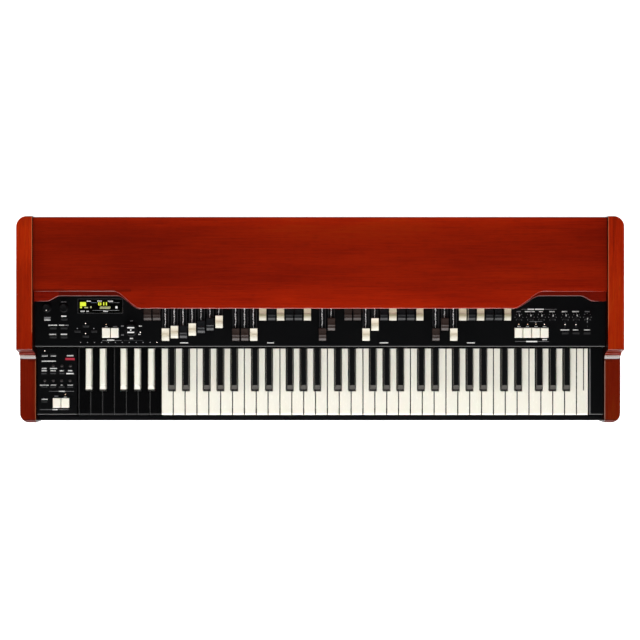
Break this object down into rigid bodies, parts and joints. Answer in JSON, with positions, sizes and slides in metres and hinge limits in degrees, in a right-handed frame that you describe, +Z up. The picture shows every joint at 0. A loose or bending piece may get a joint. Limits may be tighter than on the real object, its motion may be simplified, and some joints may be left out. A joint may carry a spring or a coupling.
{
  "type": "tonewheel organ",
  "caption": "Portable drawbar organ with stepped wooden end boards, a wooden lid, a drawbar bank, a reversed-colour preset octave and a five-octave keyboard.",
  "frame": {"origin": "centre of the base, on the surface that the feet stand on", "axes": "+X to the player's right, +Y to the rear, +Z up"},
  "size_m": [1.188, 0.4066, 0.13],
  "materials": {
    "red_wood": "red-brown stain under gloss varnish",
    "panel_black": "satin black paint",
    "block_black": "satin black",
    "black_plastic": "gloss black",
    "ivory_plastic": "gloss ivory",
    "white_plastic": "gloss white",
    "brown_plastic": "satin dark brown",
    "dark_steel": "black textured paint",
    "bare_aluminium": "plain sheet",
    "board_green": "solder mask",
    "foot_rubber": "matt",
    "display_glass": "dark lens"
  },
  "bodies": {
    "console": {"bottom_chassis": "dark_steel", "left_cheek": "red_wood", "right_cheek": "red_wood", "top_lid": "red_wood", "left_fascia": "red_wood", "right_fascia": "red_wood", "control_panel": "panel_black", "left_control_block": "block_black", "right_key_block": "block_black", "key_slip": "block_black", "rear_panel": "dark_steel", "key_frame": "bare_aluminium", "drawbar_frame": "black_plastic", "display_window": "display_glass", "main_board": "board_green", "foot_front_left": "foot_rubber", "foot_front_right": "foot_rubber", "foot_rear_left": "foot_rubber", "foot_rear_right": "foot_rubber"},
    "volume_knob": {"volume_knob": "black_plastic"},
    "value_knob": {"value_knob": "black_plastic"},
    "vibrato_knob": {"vibrato_knob": "black_plastic"},
    "power_switch": {"power_switch": "black_plastic"},
    "vibrato_tab_1": {"vibrato_tab_1": "white_plastic"},
    "vibrato_tab_2": {"vibrato_tab_2": "white_plastic"},
    "percussion_tab_1": {"percussion_tab_1": "white_plastic"},
    "percussion_tab_2": {"percussion_tab_2": "white_plastic"},
    "percussion_tab_3": {"percussion_tab_3": "white_plastic"},
    "percussion_tab_4": {"percussion_tab_4": "white_plastic"},
    "rotor_tab_1": {"rotor_tab_1": "white_plastic"},
    "rotor_tab_2": {"rotor_tab_2": "white_plastic"},
    "preset_naturals": {"preset_naturals": "black_plastic"},
    "preset_sharps": {"preset_sharps": "ivory_plastic"},
    "octave_1_naturals": {"octave_1_naturals": "ivory_plastic"},
    "octave_1_sharps": {"octave_1_sharps": "black_plastic"},
    "octave_5_naturals": {"octave_5_naturals": "ivory_plastic"},
    "octave_5_sharps": {"octave_5_sharps": "black_plastic"},
    "octave_2_naturals": {"octave_2_naturals": "ivory_plastic"},
    "octave_2_sharps": {"octave_2_sharps": "black_plastic"},
    "octave_3_naturals": {"octave_3_naturals": "ivory_plastic"},
    "octave_3_sharps": {"octave_3_sharps": "black_plastic"},
    "octave_4_naturals": {"octave_4_naturals": "ivory_plastic"},
    "octave_4_sharps": {"octave_4_sharps": "black_plastic"},
    "drawbar_upper_a_3": {"drawbar_upper_a_3": "white_plastic"},
    "drawbar_upper_a_4": {"drawbar_upper_a_4": "white_plastic"},
    "drawbar_upper_a_5": {"drawbar_upper_a_5": "black_plastic"},
    "drawbar_upper_a_6": {"drawbar_upper_a_6": "white_plastic"},
    "drawbar_upper_a_7": {"drawbar_upper_a_7": "black_plastic"},
    "drawbar_upper_a_8": {"drawbar_upper_a_8": "black_plastic"},
    "drawbar_upper_a_9": {"drawbar_upper_a_9": "white_plastic"},
    "drawbar_upper_b_1": {"drawbar_upper_b_1": "brown_plastic"},
    "drawbar_upper_b_2": {"drawbar_upper_b_2": "brown_plastic"},
    "drawbar_upper_b_3": {"drawbar_upper_b_3": "white_plastic"},
    "drawbar_pedal_1": {"drawbar_pedal_1": "brown_plastic"},
    "drawbar_pedal_2": {"drawbar_pedal_2": "brown_plastic"},
    "drawbar_lower_a_3": {"drawbar_lower_a_3": "white_plastic"},
    "drawbar_lower_a_4": {"drawbar_lower_a_4": "white_plastic"},
    "drawbar_lower_b_1": {"drawbar_lower_b_1": "brown_plastic"},
    "drawbar_lower_b_2": {"drawbar_lower_b_2": "brown_plastic"},
    "drawbar_lower_b_3": {"drawbar_lower_b_3": "white_plastic"}
  },
  "joints": [
    {"name": "volume_knob_turn", "type": "hinge", "parent": "console", "child": "volume_knob", "pos_m": [-0.53802, 0.02361, 0.097], "axis": [0, 0, 1], "range_deg": [-300, 0]},
    {"name": "value_knob_turn", "type": "hinge", "parent": "console", "child": "value_knob", "pos_m": [-0.50457, 0.02361, 0.097], "axis": [0, 0, 1], "continuous": true},
    {"name": "vibrato_knob_turn", "type": "hinge", "parent": "console", "child": "vibrato_knob", "pos_m": [-0.37189, -0.0197, 0.097], "axis": [0, 0, 1], "range_deg": [-60, 240]},
    {"name": "power_switch_rock", "type": "hinge", "parent": "console", "child": "power_switch", "pos_m": [-0.409, 0.1945, 0.0351], "axis": [1, 0, 0], "range_deg": [0, 12]},
    {"name": "vibrato_tab_1_press", "type": "hinge", "parent": "console", "child": "vibrato_tab_1", "pos_m": [-0.42149, -0.0155, 0.094], "axis": [1, 0, 0], "range_deg": [0, 4], "stiffness_Nm_per_rad": 0.1, "springref_deg": -11.46},
    {"name": "vibrato_tab_2_press", "type": "hinge", "parent": "console", "child": "vibrato_tab_2", "pos_m": [-0.40449, -0.0155, 0.094], "axis": [1, 0, 0], "range_deg": [0, 4], "stiffness_Nm_per_rad": 0.1, "springref_deg": -11.46},
    {"name": "percussion_tab_1_press", "type": "hinge", "parent": "console", "child": "percussion_tab_1", "pos_m": [0.39075, -0.0155, 0.094], "axis": [1, 0, 0], "range_deg": [0, 4], "stiffness_Nm_per_rad": 0.1, "springref_deg": -11.46},
    {"name": "percussion_tab_2_press", "type": "hinge", "parent": "console", "child": "percussion_tab_2", "pos_m": [0.40775, -0.0155, 0.094], "axis": [1, 0, 0], "range_deg": [0, 4], "stiffness_Nm_per_rad": 0.1, "springref_deg": -11.46},
    {"name": "percussion_tab_3_press", "type": "hinge", "parent": "console", "child": "percussion_tab_3", "pos_m": [0.42475, -0.0155, 0.094], "axis": [1, 0, 0], "range_deg": [0, 4], "stiffness_Nm_per_rad": 0.1, "springref_deg": -11.46},
    {"name": "percussion_tab_4_press", "type": "hinge", "parent": "console", "child": "percussion_tab_4", "pos_m": [0.44175, -0.0155, 0.094], "axis": [1, 0, 0], "range_deg": [0, 4], "stiffness_Nm_per_rad": 0.1, "springref_deg": -11.46},
    {"name": "rotor_tab_1_press", "type": "hinge", "parent": "console", "child": "rotor_tab_1", "pos_m": [-0.52281, -0.1547, 0.063], "axis": [1, 0, 0], "range_deg": [0, 4], "stiffness_Nm_per_rad": 0.1, "springref_deg": -11.46},
    {"name": "rotor_tab_2_press", "type": "hinge", "parent": "console", "child": "rotor_tab_2", "pos_m": [-0.50581, -0.1547, 0.063], "axis": [1, 0, 0], "range_deg": [0, 4], "stiffness_Nm_per_rad": 0.1, "springref_deg": -11.46},
    {"name": "preset_naturals_press", "type": "hinge", "parent": "console", "child": "preset_naturals", "pos_m": [-0.39827, 0.019, 0.047], "axis": [1, 0, 0], "range_deg": [0, 2.6], "stiffness_Nm_per_rad": 4, "springref_deg": -17.19},
    {"name": "preset_sharps_press", "type": "hinge", "parent": "console", "child": "preset_sharps", "pos_m": [-0.39827, 0.019, 0.055], "axis": [1, 0, 0], "range_deg": [0, 2.6], "stiffness_Nm_per_rad": 2.5, "springref_deg": -14.32},
    {"name": "octave_1_naturals_press", "type": "hinge", "parent": "console", "child": "octave_1_naturals", "pos_m": [-0.23327, 0.019, 0.047], "axis": [1, 0, 0], "range_deg": [0, 2.6], "stiffness_Nm_per_rad": 4, "springref_deg": -17.19},
    {"name": "octave_1_sharps_press", "type": "hinge", "parent": "console", "child": "octave_1_sharps", "pos_m": [-0.23327, 0.019, 0.055], "axis": [1, 0, 0], "range_deg": [0, 2.6], "stiffness_Nm_per_rad": 2.5, "springref_deg": -14.32},
    {"name": "octave_5_naturals_press", "type": "hinge", "parent": "console", "child": "octave_5_naturals", "pos_m": [0.42673, 0.019, 0.047], "axis": [1, 0, 0], "range_deg": [0, 2.6], "stiffness_Nm_per_rad": 4, "springref_deg": -17.19},
    {"name": "octave_5_sharps_press", "type": "hinge", "parent": "console", "child": "octave_5_sharps", "pos_m": [0.42673, 0.019, 0.055], "axis": [1, 0, 0], "range_deg": [0, 2.6], "stiffness_Nm_per_rad": 2.5, "springref_deg": -14.32},
    {"name": "octave_2_naturals_press", "type": "hinge", "parent": "console", "child": "octave_2_naturals", "pos_m": [-0.06827, 0.019, 0.047], "axis": [1, 0, 0], "range_deg": [0, 2.6], "stiffness_Nm_per_rad": 4, "springref_deg": -17.19},
    {"name": "octave_2_sharps_press", "type": "hinge", "parent": "console", "child": "octave_2_sharps", "pos_m": [-0.06827, 0.019, 0.055], "axis": [1, 0, 0], "range_deg": [0, 2.6], "stiffness_Nm_per_rad": 2.5, "springref_deg": -14.32},
    {"name": "octave_3_naturals_press", "type": "hinge", "parent": "console", "child": "octave_3_naturals", "pos_m": [0.09673, 0.019, 0.047], "axis": [1, 0, 0], "range_deg": [0, 2.6], "stiffness_Nm_per_rad": 4, "springref_deg": -17.19},
    {"name": "octave_3_sharps_press", "type": "hinge", "parent": "console", "child": "octave_3_sharps", "pos_m": [0.09673, 0.019, 0.055], "axis": [1, 0, 0], "range_deg": [0, 2.6], "stiffness_Nm_per_rad": 2.5, "springref_deg": -14.32},
    {"name": "octave_4_naturals_press", "type": "hinge", "parent": "console", "child": "octave_4_naturals", "pos_m": [0.26173, 0.019, 0.047], "axis": [1, 0, 0], "range_deg": [0, 2.6], "stiffness_Nm_per_rad": 4, "springref_deg": -17.19},
    {"name": "octave_4_sharps_press", "type": "hinge", "parent": "console", "child": "octave_4_sharps", "pos_m": [0.26173, 0.019, 0.055], "axis": [1, 0, 0], "range_deg": [0, 2.6], "stiffness_Nm_per_rad": 2.5, "springref_deg": -14.32},
    {"name": "drawbar_upper_a_3_slide", "type": "slide", "parent": "console", "child": "drawbar_upper_a_3", "axis": [0, -1, 0], "range_m": [-0.04, 0]},
    {"name": "drawbar_upper_a_4_slide", "type": "slide", "parent": "console", "child": "drawbar_upper_a_4", "axis": [0, -1, 0], "range_m": [-0.035, 0.005]},
    {"name": "drawbar_upper_a_5_slide", "type": "slide", "parent": "console", "child": "drawbar_upper_a_5", "axis": [0, -1, 0], "range_m": [-0.035, 0.005]},
    {"name": "drawbar_upper_a_6_slide", "type": "slide", "parent": "console", "child": "drawbar_upper_a_6", "axis": [0, -1, 0], "range_m": [-0.03, 0.01]},
    {"name": "drawbar_upper_a_7_slide", "type": "slide", "parent": "console", "child": "drawbar_upper_a_7", "axis": [0, -1, 0], "range_m": [-0.025, 0.015]},
    {"name": "drawbar_upper_a_8_slide", "type": "slide", "parent": "console", "child": "drawbar_upper_a_8", "axis": [0, -1, 0], "range_m": [-0.02, 0.02]},
    {"name": "drawbar_upper_a_9_slide", "type": "slide", "parent": "console", "child": "drawbar_upper_a_9", "axis": [0, -1, 0], "range_m": [-0.015, 0.025]},
    {"name": "drawbar_upper_b_1_slide", "type": "slide", "parent": "console", "child": "drawbar_upper_b_1", "axis": [0, -1, 0], "range_m": [-0.04, 0]},
    {"name": "drawbar_upper_b_2_slide", "type": "slide", "parent": "console", "child": "drawbar_upper_b_2", "axis": [0, -1, 0], "range_m": [-0.04, 0]},
    {"name": "drawbar_upper_b_3_slide", "type": "slide", "parent": "console", "child": "drawbar_upper_b_3", "axis": [0, -1, 0], "range_m": [-0.04, 0]},
    {"name": "drawbar_pedal_1_slide", "type": "slide", "parent": "console", "child": "drawbar_pedal_1", "axis": [0, -1, 0], "range_m": [-0.04, 0]},
    {"name": "drawbar_pedal_2_slide", "type": "slide", "parent": "console", "child": "drawbar_pedal_2", "axis": [0, -1, 0], "range_m": [-0.02, 0.02]},
    {"name": "drawbar_lower_a_3_slide", "type": "slide", "parent": "console", "child": "drawbar_lower_a_3", "axis": [0, -1, 0], "range_m": [-0.04, 0]},
    {"name": "drawbar_lower_a_4_slide", "type": "slide", "parent": "console", "child": "drawbar_lower_a_4", "axis": [0, -1, 0], "range_m": [-0.02, 0.02]},
    {"name": "drawbar_lower_b_1_slide", "type": "slide", "parent": "console", "child": "drawbar_lower_b_1", "axis": [0, -1, 0], "range_m": [-0.04, 0]},
    {"name": "drawbar_lower_b_2_slide", "type": "slide", "parent": "console", "child": "drawbar_lower_b_2", "axis": [0, -1, 0], "range_m": [-0.02, 0.02]},
    {"name": "drawbar_lower_b_3_slide", "type": "slide", "parent": "console", "child": "drawbar_lower_b_3", "axis": [0, -1, 0], "range_m": [-0.04, 0]}
  ]
}
